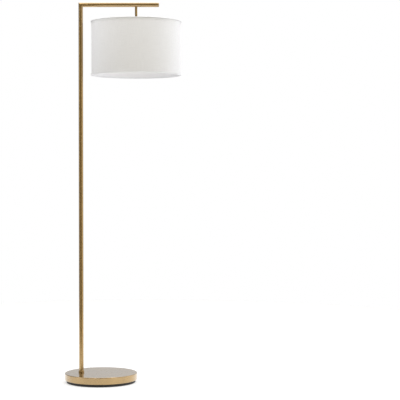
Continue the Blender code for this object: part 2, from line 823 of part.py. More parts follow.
def hem(name, edge, side):
    """Folded strip over the drum's edge and its wire: side is 1 for the top and -1 below."""
    outer = SHADE_RADIUS
    inner = outer - 0.009
    crown = 0.0008
    drum_outer = FABRIC_RADIUS + GAP
    drum_inner = inner + HEM_SKIN * 0.5
    profile = [
        (outer, edge - side * HEM_HEIGHT),
        (outer, edge - side * crown),
        (outer - crown, edge),
        (inner, edge),
        (inner, edge - side * HEM_HEIGHT * 0.7),
        (drum_inner, edge - side * HEM_HEIGHT * 0.7),
        (drum_inner, edge - side * HEM_SKIN),
        (drum_outer, edge - side * HEM_SKIN),
        (drum_outer, edge - side * HEM_HEIGHT),
    ]
    if side > 0:
        profile.reverse()
    return turned(name, profile, FABRIC, (STEM_X, 0, 0), facets=FINE, ring=True)


def wire_ring(name, z, radius):
    angles = [2 * math.pi * i / FINE for i in range(FINE)]
    points = [(STEM_X + radius * math.cos(a), radius * math.sin(a), z) for a in angles]
    return wire(name, points, WIRE_RADIUS, WHITE_WIRE, closed=True)


def shade(hub_top):
    at = (STEM_X, 0, 0)
    edge_in = HEM_SKIN + GAP
    low, high = SHADE_BOTTOM + edge_in, SHADE_TOP - edge_in
    fabric_in = FABRIC_RADIUS - FABRIC_THICKNESS
    liner_out = fabric_in - GAP
    liner_in = liner_out - LINER_THICKNESS
    ring_radius = liner_in - GAP - WIRE_RADIUS
    hub_bottom = hub_top - HUB_THICKNESS
    top_wire_z = high - WIRE_RADIUS
    top_hem = hem("hem_top", SHADE_TOP, 1)
    pieces = [
        washer("shade_fabric", FABRIC_RADIUS, fabric_in, low, high, FABRIC, at, facets=FINE),
        washer("shade_liner", liner_out, liner_in, low, high, LINER, at, facets=FINE),
        top_hem,
        hem("hem_bottom", SHADE_BOTTOM, -1),
        wire_ring("ring_top", top_wire_z, ring_radius),
        wire_ring("ring_bottom", low + WIRE_RADIUS, ring_radius),
        washer("shade_hub", HUB_RADIUS, HOLDER_THREAD + GAP, hub_bottom, hub_top, WHITE_WIRE, at),
    ]
    hub_z = (hub_bottom + hub_top) / 2
    start = HUB_RADIUS + 3 * GAP
    reach = ring_radius - WIRE_RADIUS - GAP
    notch_size = (0.006, 2 * WIRE_RADIUS + 4 * GAP, 0.008)
    notch_z = SHADE_TOP - HEM_SKIN - notch_size[2] / 2
    for i in range(SPOKES):
        angle = 2 * math.pi * (i + 0.5) / SPOKES
        side = Vector((math.cos(angle), math.sin(angle), 0))
        stations = [
            (start, hub_z),
            (start + 0.012, hub_z + 0.001),
            (0.100, hub_z + 0.030),
            (reach - 0.020, top_wire_z - 0.004),
            (reach, top_wire_z),
        ]
        route = rounded([Vector(at) + side * r + Vector((0, 0, z)) for r, z in stations], 3)
        pieces.append(wire(f"spoke_{i + 1}", route, WIRE_RADIUS, WHITE_WIRE))
        notch_at = Vector(at) + side * reach + Vector((0, 0, notch_z))
        cut(top_hem, block(f"notch_{i}", notch_size, None, notch_at, (0, 0, angle)))
    return pieces


def main():
    base_pad()
    pad_screws()
    base_cover()
    base_weight()
    base_fixings()
    cord_entry()
    foot()
    pole()
    arm()
    end_cap()
    stem_pieces = swivel()
    stem_pieces.append(leads())
    holder_pieces, hub_top = holder()
    head_pieces = holder_pieces + shade(hub_top)
    knob_pieces = switch_knob()
    bulb_pieces = bulb()
    tilt = pivot("tilt_pivot", (STEM_X, 0, ARM_Z))
    turn = pivot("turn_axis", (STEM_X, 0, STEM_BOTTOM))
    knob = pivot("knob_axis", (STEM_X, 0, KNOB_Z))
    seat = pivot("bulb_axis", (STEM_X, 0, BULB_TOP))
    carry(knob, knob_pieces)
    carry(seat, bulb_pieces)
    carry(turn, head_pieces + [knob, seat])
    carry(tilt, stem_pieces + [turn])


main()
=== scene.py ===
"""Looks, light and camera for the floor lamp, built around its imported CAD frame.

Every place comes from the CAD nodes' boxes. Lengths are in metres, +Z is up, and +X runs along
the arm from the pole to the shade.
"""

import math
import random

import bmesh
import bpy
from mathutils import Matrix, Vector

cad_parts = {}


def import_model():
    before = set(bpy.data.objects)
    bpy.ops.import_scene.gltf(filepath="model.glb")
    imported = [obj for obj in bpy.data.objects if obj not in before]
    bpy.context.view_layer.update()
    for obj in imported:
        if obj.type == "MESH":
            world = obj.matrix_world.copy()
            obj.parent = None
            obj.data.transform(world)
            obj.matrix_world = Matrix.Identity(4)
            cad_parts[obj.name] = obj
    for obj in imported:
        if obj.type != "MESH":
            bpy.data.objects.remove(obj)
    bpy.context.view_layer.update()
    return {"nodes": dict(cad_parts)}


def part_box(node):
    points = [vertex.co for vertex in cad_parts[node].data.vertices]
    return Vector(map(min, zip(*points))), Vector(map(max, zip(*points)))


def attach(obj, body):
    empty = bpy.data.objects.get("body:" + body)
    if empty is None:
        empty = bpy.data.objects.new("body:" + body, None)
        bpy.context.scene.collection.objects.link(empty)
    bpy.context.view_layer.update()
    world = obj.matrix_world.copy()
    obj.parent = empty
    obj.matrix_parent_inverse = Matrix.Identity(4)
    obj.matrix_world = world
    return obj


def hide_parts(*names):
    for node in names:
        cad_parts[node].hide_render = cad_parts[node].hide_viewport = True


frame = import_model()
NODES = frame["nodes"]

# Segments round a turn: the shade and the base, fluted pieces, the lamp holder and the bulb,
# tubes, and small hardware.
DRUM = 192
FLUTED = 144
HOLDER = 96
TUBE = 64
SMALL = 32

# One thread's width in the cloth and in the edge strips, and how far their weave stands out.
WEAVE_PITCH = 0.00075
HEM_PITCH = 0.0006
WEAVE_DEPTH = 0.0004

# Stretches across the edge strip, in metres from its free edge, that carry painted shade: a little
# darker in the notch under the bead and in the fold inside the drum.
HEM_FOLD_SHADE = ((0.0048, 0.0082), (0.0160, 0.0245))

# The cloth's lapped joint: its place round the drum, its size, and its gap to the cloth.
LAP_ANGLE = 150
LAP_WIDTH = 0.012
LAP_THICKNESS = 0.0003
LAP_LIFT = 0.00035
LAP_MARGIN = 0.0085

POLE_PARTS = ("lower", "middle", "upper")

# How finely noise is spread over the brass on each axis, which makes its polishing lines run
# along the pole, along the arm, and in rings round the base.
POLE_GRAIN = (260.0, 260.0, 9.0)
ARM_GRAIN = (9.0, 260.0, 260.0)
BASE_GRAIN = 600.0


# Places read from the frame ---------------------------------------------------------------


def middle(node):
    """The centre of a CAD node's box."""
    low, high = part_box(node)
    return (low + high) / 2


POLE_X = middle("pole_lower").x
STEM_X = middle("drop_stem").x
ARM_Z = middle("arm_end_cap").z
POLE_AXIS = (POLE_X, 0, 0)
STEM_AXIS = (STEM_X, 0, 0)

# Turns that lay an upright piece down: outwards along the arm, and out of the base's back.
ALONG_ARM = Matrix.Rotation(math.radians(90), 3, "Y")
TO_THE_BACK = Matrix.Rotation(math.radians(-90), 3, "X")


# Materials ---------------------------------------------------------------------------------


class Tree:
    """A short way to lay out shader nodes."""

    def __init__(self, tree):
        self.tree = tree

    def add(self, kind, **settings):
        node = self.tree.nodes.new("ShaderNode" + kind)
        for name, value in settings.items():
            setattr(node, name, value)
        return node

    def link(self, output, target, socket):
        """Feeds a socket with another node's output, or sets it to a plain value."""
        if isinstance(output, (int, float, tuple)):
            target.inputs[socket].default_value = output
        else:
            self.tree.links.new(output, target.inputs[socket])

    def maths(self, operation, a, b=0.0, c=0.0):
        node = self.add("Math", operation=operation)
        for i, value in enumerate((a, b, c)):
            self.link(value, node, i)
        return node.outputs[0]

    def ramp(self, value, low, high, start=0.0, end=1.0, kind="LINEAR"):
        """Maps start..end of a value to low..high, held at both ends."""
        node = self.add("MapRange", interpolation_type=kind)
        for i, entry in enumerate((value, start, end, low, high)):
            self.link(entry, node, i)
        return node.outputs[0]

    def blend(self, factor, a, b):
        node = self.add("Mix", data_type="RGBA")
        self.link(factor, node, 0)
        for socket, colour in ((6, a), (7, b)):
            full = (*colour, 1.0) if isinstance(colour, tuple) else colour
            self.link(full, node, socket)
        return node.outputs[2]


class Nodes(Tree):
    """The nodes of one material, laid out in metres in the piece's own axes."""

    def __init__(self, name, colour, roughness, metallic=0.0):
        self.material = bpy.data.materials.new(name)
        self.material.use_nodes = True
        super().__init__(self.material.node_tree)
        self.shader = self.tree.nodes["Principled BSDF"]
        self.shader.inputs["Base Color"].default_value = (*colour, 1.0)
        self.shader.inputs["Roughness"].default_value = roughness
        self.shader.inputs["Metallic"].default_value = metallic
        self.place = self.add("TexCoord").outputs["Object"]

    def set(self, **values):
        for name, value in values.items():
            self.shader.inputs[name.replace("_", " ")].default_value = value

    def stretched(self, scale, source=None):
        node = self.add("Mapping")
        node.inputs["Scale"].default_value = scale
        self.link(source or self.place, node, "Vector")
        return node.outputs["Vector"]

    def rings(self, scale):
        """Place measured out from the upright axis and up along it, for marks left by turning."""
        reach = self.add("VectorMath", operation="LENGTH")
        self.link(self.stretched((scale, scale, 0.0)), reach, 0)
        height = self.add("SeparateXYZ")
        self.link(self.stretched((scale, scale, scale)), height, 0)
        join = self.add("CombineXYZ")
        self.link(reach.outputs["Value"], join, 0)
        self.link(height.outputs[2], join, 2)
        return join.outputs[0]

    def noise(self, scale, detail=3.0, place=None, roughness=0.55):
        node = self.add("TexNoise")
        self.link(place or self.place, node, "Vector")
        node.inputs["Scale"].default_value = scale
        node.inputs["Detail"].default_value = detail
        node.inputs["Roughness"].default_value = roughness
        return node.outputs["Fac"]

    def colour(self, output):
        self.link(output, self.shader, "Base Color")

    def rough(self, output):
        self.link(output, self.shader, "Roughness")

    def bump(self, height, strength, distance):
        """Adds the relief, the last layer, and gives the finished material."""
        node = self.add("Bump")
        node.inputs["Strength"].default_value = strength
        node.inputs["Distance"].default_value = distance
        self.link(height, node, "Height")
        self.link(node.outputs["Normal"], self.shader, "Normal")
        return self.material


def brass(name, grain, tint=(0.45, 0.305, 0.135), base=0.20, lacquer=0.4):
    """Lacquered satin antique brass.

    Its fine polishing lines follow the given stretch, or rings if that is one number.
    """
    n = Nodes(name, tint, base, 1.0)
    n.set(Coat_Weight=lacquer, Coat_Roughness=0.12, Coat_IOR=1.55)
    cloud = n.noise(9.0, 4.0)
    haze = n.noise(45.0, 3.0)
    place = n.stretched(grain) if isinstance(grain, tuple) else n.rings(grain)
    lines = n.noise(1.0, 5.0, place, 0.7)
    dark = tuple(c * 0.93 for c in tint)
    warm = tuple(c * f for c, f in zip(tint, (1.05, 1.03, 0.98)))
    n.colour(n.blend(n.ramp(cloud, 0.0, 1.0, 0.35, 0.65), dark, warm))
    rough = n.maths("MULTIPLY_ADD", lines, 0.10, base - 0.05)
    n.rough(n.maths("ADD", rough, n.ramp(haze, -0.02, 0.05, 0.3, 0.7)))
    return n.bump(lines, 0.06, 0.0001)


def metal(name, tint, base, scale=260.0, spotted=0.2):
    """Plated or bare small hardware with a fine, slightly cloudy surface."""
    n = Nodes(name, tint, base, 1.0)
    cloud = n.noise(scale * 0.15, 4.0)
    grit = n.noise(scale * 6, 2.0)
    dark = tuple(c * (1 - spotted) for c in tint)
    n.colour(n.blend(n.ramp(cloud, 0.0, 1.0, 0.3, 0.7), dark, tint))
    n.rough(n.maths("MULTIPLY_ADD", cloud, 0.22, base - 0.10))
    return n.bump(grit, 0.25, 0.0001)


def plastic(name, tint, base, texture, depth, lift=0.25):
    """Moulded plastic with a fine spark-eroded texture."""
    n = Nodes(name, tint, base)
    n.set(IOR=1.47)
    cloud = n.noise(30.0, 3.0)
    grain = n.noise(texture, 2.0)
    lighter = tuple(min(1.0, c * (1 + lift) + 0.004 * lift) for c in tint)
    n.colour(n.blend(n.ramp(cloud, 0.0, 1.0, 0.3, 0.7), tint, lighter))
    n.rough(n.maths("MULTIPLY_ADD", cloud, 0.18, base - 0.09))
    return n.bump(grain, 0.4, depth)


def woven(name, tint, pitch, shaded_folds=()):
    """Plain weave with slubs, over a piece whose UV map is in metres.

    Shaded folds, given as stretches of the map's second axis, carry painted shade: they are a
    little darker.
    """
    n = Nodes(name, tint, 0.88)
    n.set(Sheen_Weight=0.12, Sheen_Roughness=0.45, IOR=1.45)
    uv = n.add("UVMap", uv_map="threads").outputs["UV"]
    split = n.add("SeparateXYZ")
    n.link(uv, split, 0)
    warp = n.maths("SINE", n.maths("MULTIPLY", split.outputs[0], math.pi / pitch))
    weft = n.maths("SINE", n.maths("MULTIPLY", split.outputs[1], math.pi / pitch))
    half_warp = n.maths("MULTIPLY", n.maths("ABSOLUTE", warp), 0.5)
    half_weft = n.maths("MULTIPLY", n.maths("ABSOLUTE", weft), 0.5)
    checks = n.maths("MULTIPLY", warp, weft)
    over = n.maths("GREATER_THAN", checks, 0.0)
    threads = n.add("Mix", data_type="FLOAT")
    for socket, value in ((0, over), (2, half_warp), (3, half_weft)):
        n.link(value, threads, socket)
    slubs_v = n.noise(1.0, 3.0, n.stretched((900.0, 22.0, 1.0), uv), 0.6)
    slubs_h = n.noise(1.0, 3.0, n.stretched((22.0, 900.0, 1.0), uv), 0.6)
    slubs = n.maths("MULTIPLY", n.maths("ADD", slubs_v, slubs_h), 0.5)
    height = n.maths("ADD", threads.outputs[0], n.maths("MULTIPLY", slubs, 0.8))
    cloud = n.noise(7.0, 3.0)
    light = tuple(min(1.0, c * 1.035) for c in tint)
    dark = tuple(c * 0.95 for c in tint)
    tone = n.blend(n.ramp(slubs, 0.0, 1.0, 0.38, 0.62), dark, light)
    tone = n.blend(n.ramp(cloud, 0.0, 0.35, 0.4, 0.7), tone, tint)
    gaps = n.ramp(threads.outputs[0], 0.35, 0.0, 0.0, 0.22)
    tone = n.blend(gaps, tone, tuple(c * 0.72 for c in tint))
    # Painted shade: the tone is darkened in the hem's notch under the bead and in its inner fold.
    fold_shade = tuple(c * 0.88 for c in tint)
    for start, end in shaded_folds:
        half = (end - start) / 2
        reach = n.maths("ABSOLUTE", n.maths("SUBTRACT", split.outputs[1], start + half))
        tone = n.blend(n.ramp(reach, 1.0, 0.0, half * 0.6, half), tone, fold_shade)
    n.colour(tone)
    n.rough(n.ramp(slubs, 0.80, 0.95, 0.3, 0.7))
    return n.bump(height, 0.6, WEAVE_DEPTH)


def make_materials():
    """Every paint under the short name that pieces ask for it by."""
    white = (0.873, 0.880, 0.908)
    return {
        "tube": brass("satin_brass_upright", POLE_GRAIN),
        "bar": brass("satin_brass_arm", ARM_GRAIN, lacquer=1.0),
        "spun": brass("satin_brass_spun", BASE_GRAIN, base=0.24, lacquer=1.0),
        "bright": metal("pressed_brass", (0.78, 0.60, 0.30), 0.28),
        "zinc": metal("zinc_plate", (0.66, 0.67, 0.66), 0.34),
        "nickel": metal("nickel_plate", (0.74, 0.72, 0.68), 0.22),
        "iron": metal("cast_iron", (0.16, 0.155, 0.15), 0.62, 120.0, 0.45),
        "black": plastic("black_moulding", (0.018, 0.018, 0.019), 0.48, 1800.0, 0.0002),
        "pad": plastic("black_tray", (0.014, 0.0135, 0.013), 0.60, 1300.0, 0.0003),
        "rubber": plastic("black_rubber", (0.012, 0.012, 0.012), 0.80, 700.0, 0.0003),
        "nylon": plastic("white_nylon", (0.78, 0.78, 0.75), 0.42, 1500.0, 0.0001, 0.05),
        "sheath": plastic("lead_sheath", (0.62, 0.50, 0.27), 0.40, 500.0, 0.0001, 0.15),
        "wire": plastic("white_powder_coat", (0.80, 0.80, 0.79), 0.42, 1500.0, 0.00005, 0.04),
        "liner": plastic("white_styrene", (0.84, 0.84, 0.86), 0.55, 900.0, 0.0001, 0.04),
        "dome": plastic("frosted_dome", (0.86, 0.86, 0.84), 0.38, 2200.0, 0.0001, 0.03),
        "fabric": woven("shade_weave", white, WEAVE_PITCH),
        "hem": woven("hem_weave", white, HEM_PITCH, HEM_FOLD_SHADE),
    }


PAINT = make_materials()


# Mesh helpers ------------------------------------------------------------------------------

# Shading breaks at edges sharper than this, in degrees.
SHARP_ANGLE = 38

# Softened corners: the most of a stretch that one takes, the bend that counts as straight, and
# the points that hold the flat stretches beside it, with the room they need, all in cuts.
CORNER_SHARE = 0.45
STRAIGHT = math.radians(172)
HOLD = 1.3
HOLD_ROOM = 2.8


def in_scene(name, data):
    """A new object in the scene for a mesh, a light or a camera."""
    made = bpy.data.objects.new(name, data)
    bpy.context.scene.collection.objects.link(made)
    return made


def new_piece(name, mesh, paint, body, stands_for=()):
    """A painted mesh that rides on a body and stands for CAD nodes."""
    piece = in_scene(name, mesh)
    mesh.materials.clear()
    mesh.materials.append(PAINT[paint])
    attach(piece, body)
    if stands_for:
        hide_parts(*stands_for)
    return piece


def smooth_but_edges(mesh, angle=SHARP_ANGLE):
    """Smooth shading that breaks at sharp edges."""
    mesh.shade_smooth()
    mesh.set_sharp_from_angle(angle=math.radians(angle))


def finish_mesh(name, shape, angle=SHARP_ANGLE):
    """Turns a bmesh into a shaded mesh with its faces outwards, and frees it."""
    bmesh.ops.recalc_face_normals(shape, faces=shape.faces)
    mesh = bpy.data.meshes.new(name)
    shape.to_mesh(mesh)
    shape.free()
    smooth_but_edges(mesh, angle)
    return mesh


def softened(points, radius, steps=4, closed=False):
    """The outline with its corners rounded to about the radius, and a point held each side."""
    count = len(points)
    out = []
    for i, point in enumerate(points):
        if not closed and i in (0, count - 1):
            out.append(point)
            continue
        here = Vector(point)
        before = Vector(points[i - 1]) - here
        after = Vector(points[(i + 1) % count]) - here
        cut = min(radius, before.length * CORNER_SHARE, after.length * CORNER_SHARE)
        bend = before.angle(after) if before.length and after.length else math.pi
        if cut < 1e-6 or bend > STRAIGHT:
            out.append(point)
            continue
        start = here + before.normalized() * cut
        end = here + after.normalized() * cut
        if before.length > HOLD_ROOM * cut:
            out.append(tuple(here + before.normalized() * cut * HOLD))
        for k in range(steps + 1):
            t = k / steps
            out.append(tuple(start * (1 - t) ** 2 + here * 2 * t * (1 - t) + end * t**2))
        if after.length > HOLD_ROOM * cut:
            out.append(tuple(here + after.normalized() * cut * HOLD))
    return out


def lathe(outline, axis, segments, closed=False, wave=None):
    """Turns an outline of (radius, height) about an upright axis, with a UV map in metres."""
    shape = bmesh.new()
    rings = []
    for radius, height in outline:
        if radius < 1e-7:
            rings.append([shape.verts.new((axis[0], axis[1], height))])
            continue
        ring = []
        for k in range(segments):
            angle = 2 * math.pi * k / segments
            r, z = wave(radius, height, angle) if wave else (radius, height)
            ring.append(
                shape.verts.new((axis[0] + r * math.cos(angle), axis[1] + r * math.sin(angle), z))
            )
        rings.append(ring)
    spans = list(zip(range(len(rings)), range(1, len(rings))))
    if closed:
        spans.append((len(rings) - 1, 0))
    lengths = [0.0]
    for (r0, z0), (r1, z1) in zip(outline, outline[1:] + outline[:1]):
        lengths.append(lengths[-1] + math.hypot(r1 - r0, z1 - z0))
    widest = max(radius for radius, _ in outline)
    layer = shape.loops.layers.uv.new("threads")
    for a, b in spans:
        top, low = rings[a], rings[b]
        v0, v1 = lengths[a], lengths[a + 1]
        for k in range(segments):
            j = (k + 1) % segments
            u0, u1 = (2 * math.pi * widest * i / segments for i in (k, k + 1))
            corners = [(top, k, u0, v0), (low, k, u0, v1), (low, j, u1, v1), (top, j, u1, v0)]
            seen = []
            for ring, i, u, v in corners:
                vert = ring[i % len(ring)]
                if vert not in [s[0] for s in seen]:
                    seen.append((vert, u, v))
            if len(seen) < 3:
                continue
            face = shape.faces.new([s[0] for s in seen])
            for loop, (_, u, v) in zip(face.loops, seen):
                loop[layer].uv = (u, v)
    return shape


def swept(points, radius, sides):
    """A round rod swept along points, without twist."""
    shape = bmesh.new()
    rings = []
    normal = None
    for i, point in enumerate(points):
        before = points[max(i - 1, 0)]
        after = points[min(i + 1, len(points) - 1)]
        along = (after - before).normalized()
        if normal is None:
            normal = along.orthogonal().normalized()
        normal = (normal - along * normal.dot(along)).normalized()
        side = along.cross(normal)
        ring = []
        for k in range(sides):
            a = 2 * math.pi * k / sides
            out = normal * math.cos(a) + side * math.sin(a)
            ring.append(shape.verts.new(point + radius * out))
        rings.append(ring)
    for low, high in zip(rings, rings[1:]):
        for k in range(sides):
            j = (k + 1) % sides
            shape.faces.new((low[k], low[j], high[j], high[k]))
    shape.faces.new(rings[0])
    shape.faces.new(rings[-1])
    return shape


# Reading a turned CAD node's outline -------------------------------------------------------

# Points closer than this are one.
NEAR = 6e-6


def spot_index(spots, point):
    """The number of a point in the list, which takes it in where it is new."""
    for i, other in enumerate(spots):
        if abs(other[0] - point[0]) < NEAR and abs(other[1] - point[1]) < NEAR:
            return i
    spots.append(point)
    return len(spots) - 1


def close_flat_ends(spots, links):
    """Joins the ends that a flat disc or ring leaves in an outline, at each height."""
    loose = [i for i in range(len(spots)) if sum(i in link for link in links) == 1]
    while loose:
        height = spots[loose[0]][1]
        level = [i for i in loose if abs(spots[i][1] - height) < NEAR]
        level.sort(key=lambda i: spots[i][0])
        loose = [i for i in loose if i not in level]
        level = [i for i in level if spots[i][0] > NEAR]
        if len(level) % 2:
            centre = spot_index(spots, (0.0, spots[level[0]][1]))
            links.add(frozenset((centre, level.pop(0))))
        for a, b in zip(level[::2], level[1::2]):
            links.add(frozenset((a, b)))


def outline_of(node, centre, turn, meridian):
    """A turned node's outline of (radius, height), and whether it closes on itself.

    It is read where the meridian, in degrees, cuts the node.
    """
    spin = Matrix.Rotation(math.radians(meridian), 3, "Z")
    inverse = (turn @ spin).inverted()
    mesh = NODES[node].data
    spots, index, links = [], {}, set()
    for vert in mesh.vertices:
        place = inverse @ (vert.co - Vector(centre))
        if abs(place.y) < NEAR and place.x > -NEAR:
            index[vert.index] = spot_index(spots, (max(place.x, 0.0), place.z))
    for edge in mesh.edges:
        a, b = (index.get(i) for i in edge.vertices)
        if a is not None and b is not None and a != b:
            links.add(frozenset((a, b)))
    close_flat_ends(spots, links)
    on_axis = [i for i, spot in enumerate(spots) if spot[0] < NEAR]
    start = max(on_axis, key=lambda i: spots[i][1]) if on_axis else 0
    path = [start]
    follow = path
    while follow:
        here = path[-1]
        follow = [i for link in links if here in link for i in link if i not in path]
        path += follow[:1]
    return [spots[i] for i in path], not on_axis


def copy_turned(
    name, node, paint, body, slot, centre, turn=None, meridian=0.0, radius=0.0004,
    segments=TUBE, steps=4, change=None, wave=None,
):
    """A smooth, fine piece on the outline of a turned CAD node."""
    turn = turn or Matrix.Identity(3)
    outline, closed = outline_of(node, centre, turn, meridian)
    soft = softened(outline, radius, steps, closed)
    if change:
        soft = change(soft)
    shape = lathe(soft, (0.0, 0.0), segments, closed, wave)
    place = Matrix.Translation(centre) @ turn.to_4x4()
    bmesh.ops.transform(shape, matrix=place, verts=shape.verts)
    return new_piece(name, finish_mesh(name, shape), paint, body, (node,))


def cut_with(piece, cutter):
    """Takes the cutter's shape out of a piece's mesh, and the cutter away."""
    modifier = piece.modifiers.new("cut", "BOOLEAN")
    modifier.object = cutter
    modifier.solver = "EXACT"
    bpy.context.view_layer.update()
    graph = bpy.context.evaluated_depsgraph_get()
    mesh = bpy.data.meshes.new_from_object(piece.evaluated_get(graph))
    piece.modifiers.clear()
    old = piece.data
    name = old.name
    piece.data = mesh
    bpy.data.meshes.remove(old)
    mesh.name = name
    smooth_but_edges(mesh)
    bpy.data.objects.remove(cutter)


def tool(shape):
    """A throwaway cutter."""
    bmesh.ops.recalc_face_normals(shape, faces=shape.faces)
    mesh = bpy.data.meshes.new("tool")
    shape.to_mesh(mesh)
    shape.free()
    return in_scene("tool", mesh)


def drill(centre, direction, radius, length, segments=48):
    """A round cutter about a point."""
    shape = bmesh.new()
    turn = Vector(direction).to_track_quat("Z", "Y").to_matrix().to_4x4()
    bmesh.ops.create_cone(
        shape, cap_ends=True, segments=segments, radius1=radius, radius2=radius, depth=length,
        matrix=Matrix.Translation(centre) @ turn,
    )
    return tool(shape)


# A stretch of an outline is upright where its ends' radii differ by less than this.
UPRIGHT = 0.0003


def densified(step, low=-math.inf, high=math.inf):
    """An outline change that adds points on the upright stretches between two heights."""

    def change(outline):
        out = []
        for (r0, z0), (r1, z1) in zip(outline, outline[1:]):
            out.append((r0, z0))
            if abs(r1 - r0) < UPRIGHT and abs(z1 - z0) > step:
                count = int(abs(z1 - z0) / step)
                for k in range(1, count):
                    t = k / count
                    z = z0 + (z1 - z0) * t
                    if low < z < high:
                        out.append((r0 + (r1 - r0) * t, z))
        return out + [outline[-1]]

    return change


def grooved(radii, size):
    """An outline change that presses round rings into a flat underside at height zero."""

    def change(outline):
        out = []
        for (r0, z0), (r1, z1) in zip(outline, outline[1:] + outline[:1]):
            out.append((r0, z0))
            if abs(z0) > NEAR or abs(z1) > NEAR:
                continue
            way = 1 if r1 > r0 else -1
            for centre in sorted(radii, reverse=way < 0):
                if min(r0, r1) < centre - size and centre + size < max(r0, r1):
                    for k in range(9):
                        a = math.pi * k / 8
                        out.append((centre - way * size * math.cos(a), size * math.sin(a)))
        return out

    return change


def helix(inner, low, high, pitch, depth):
    """Screw thread as a change of radius, on what lies outside the inner radius."""

    def wave(radius, height, angle):
        if radius < inner or not low < height < high:
            return radius, height
        phase = (height / pitch - angle / (2 * math.pi)) % 1.0
        fade = min(1.0, (height - low) / pitch, (high - height) / pitch)
        return radius - depth * fade * 0.5 * (1 - math.cos(2 * math.pi * phase)), height

    return wave


def threaded(inner, low, high, pitch, depth, step):
    """The change and the wave that put a screw thread between two heights."""
    return {"change": densified(step, low, high), "wave": helix(inner, low, high, pitch, depth)}


def flutes(inner, count, depth, high=math.inf):
    """Even grooves round a piece, on what lies outside the inner radius and under a height."""

    def wave(radius, height, angle):
        if radius < inner or height >= high:
            return radius, height
        return radius - depth * (0.5 - 0.5 * math.cos(count * angle)) ** 3, height

    return wave


# Base --------------------------------------------------------------------------------------

# Radii of the holes for the cord, for the pole's stud, for the tray's screws and their heads.
CORD_HOLE = 0.0047
STUD_HOLE = 0.0053
SCREW_HOLE = 0.0023
HEAD_HOLE = 0.0046
HEAD_DEPTH = 0.0026

# One arm of a screw's cross slot.
SLOT_LENGTH = 0.0042
SLOT_WIDTH = 0.0009
SLOT_DEPTH = 0.0011


def base():
    """The plated shell, and the tray under it with its screws."""
    cover = copy_turned(
        "base_shell", "base_cover", "spun", "stand", "satin_brass", (0, 0, 0),
        radius=0.0016, segments=DRUM, steps=6,
    )
    inlet = middle("cord_bushing")
    cut_with(cover, drill((0, inlet.y - 0.006, inlet.z), (0, 1, 0), CORD_HOLE, length=0.03))
    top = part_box("base_cover")[1].z
    cut_with(cover, drill((POLE_X, 0, top), (0, 0, 1), STUD_HOLE, length=0.01))
    tray = copy_turned(
        "base_tray", "base_pad", "pad", "stand", "black_plastic", (0, 0, 0),
        radius=0.0011, segments=DRUM, change=grooved(radii=(0.052, 0.118), size=0.0009),
    )
    for i in (1, 2, 3):
        tray_screw(i, tray)


def tray_screw(i, tray):
    """One screw with its thread and cross slot, in its sunk hole through the tray."""
    node = f"pad_screw_{i}"
    low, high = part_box(node)
    at = ((low.x + high.x) / 2, (low.y + high.y) / 2)
    cut_with(tray, drill((*at, 0.0), (0, 0, 1), HEAD_HOLE, 2 * HEAD_DEPTH))
    cut_with(tray, drill((*at, 0.0), (0, 0, 1), SCREW_HOLE, length=0.05))
    screw = copy_turned(
        f"tray_screw_{i}", node, "zinc", "stand", "zinc_steel", (*at, 0), segments=SMALL,
        **threaded(inner=0.0015, low=0.004, high=0.031, pitch=0.0008, depth=0.0003, step=0.00012),
    )
    for angle in (45, 135):
        shape = bmesh.new()
        turn = Matrix.Rotation(math.radians(angle), 4, "Z")
        size = Matrix.Diagonal((SLOT_LENGTH, SLOT_WIDTH, 2 * SLOT_DEPTH, 1.0))
        bmesh.ops.create_cube(shape, matrix=Matrix.Translation((*at, low.z)) @ turn @ size)
        cut_with(screw, tool(shape))


def bushing():
    """The moulding that keeps the cord off the hole's edge."""
    low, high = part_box("cord_bushing")
    centre = (0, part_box("base_cover")[1].y, (low.z + high.z) / 2)
    copy_turned(
        "inlet_bushing", "cord_bushing", "black", "stand", "black_plastic", centre, TO_THE_BACK,
        radius=0.0005, wave=flutes(inner=0.0060, count=18, depth=0.0005),
    )


# Inner parts that stay as they are ---------------------------------------------------------


def repaint(nodes, paint):
    """Gives CAD nodes another material."""
    for node in nodes:
        mesh = NODES[node].data
        mesh.materials.clear()
        mesh.materials.append(PAINT[paint])


def carried_over():
    """Materials for inner parts that show as the CAD model has them."""
    rod = ["base_nipple", "base_washer", "base_nut"]
    sections = [f"{kind}_{part}" for kind in ("insert", "coupler") for part in POLE_PARTS]
    swivel = ["insert_arm", "swivel_cap", "swivel_seat", "swivel_ball", "stem_nut"]
    repaint([*rod, *sections, *swivel], "zinc")
    repaint(["base_weight"], "iron")
    repaint(["terminal_block", "led_board"], "nylon")
    repaint(["lead_lower", "lead_upper"], "sheath")
    repaint(["screw_shell", "centre_contact"], "bright")
    repaint(["switch_block", "bulb_insulator"], "black")
    repaint(["bulb_contact"], "nickel")
    repaint(["ring_top", "ring_bottom"], "wire")


# Pole, arm and stem ------------------------------------------------------------------------

ARM_WALL = 0.001

# How far the mitred corner's rounding reaches along each side.
WELD = 0.0009

# The long hole for the stem: its ends' radius, and how far each stands from the stem's axis.
STEM_HOLE = 0.0055
STEM_HOLE_OUT = 0.0025
STEM_HOLE_IN = 0.0008
STEM_HOLE_SIDES = 48
STEM_HOLE_DEPTH = 0.018


def pole():
    """The foot's washer and collar, and the pole's three tubes."""
    copy_turned(
        "foot_washer", "foot_gasket", "rubber", "stand", "rubber", POLE_AXIS, radius=0.0003,
    )
    copy_turned(
        "foot_socket", "foot_collar", "tube", "stand", "satin_brass", POLE_AXIS,
        radius=0.0009, steps=5,
    )
    for part in POLE_PARTS:
        copy_turned(
            f"tube_{part}", f"pole_{part}", "tube", "stand", "satin_brass", POLE_AXIS,
            radius=0.0003, change=densified(0.02),
        )


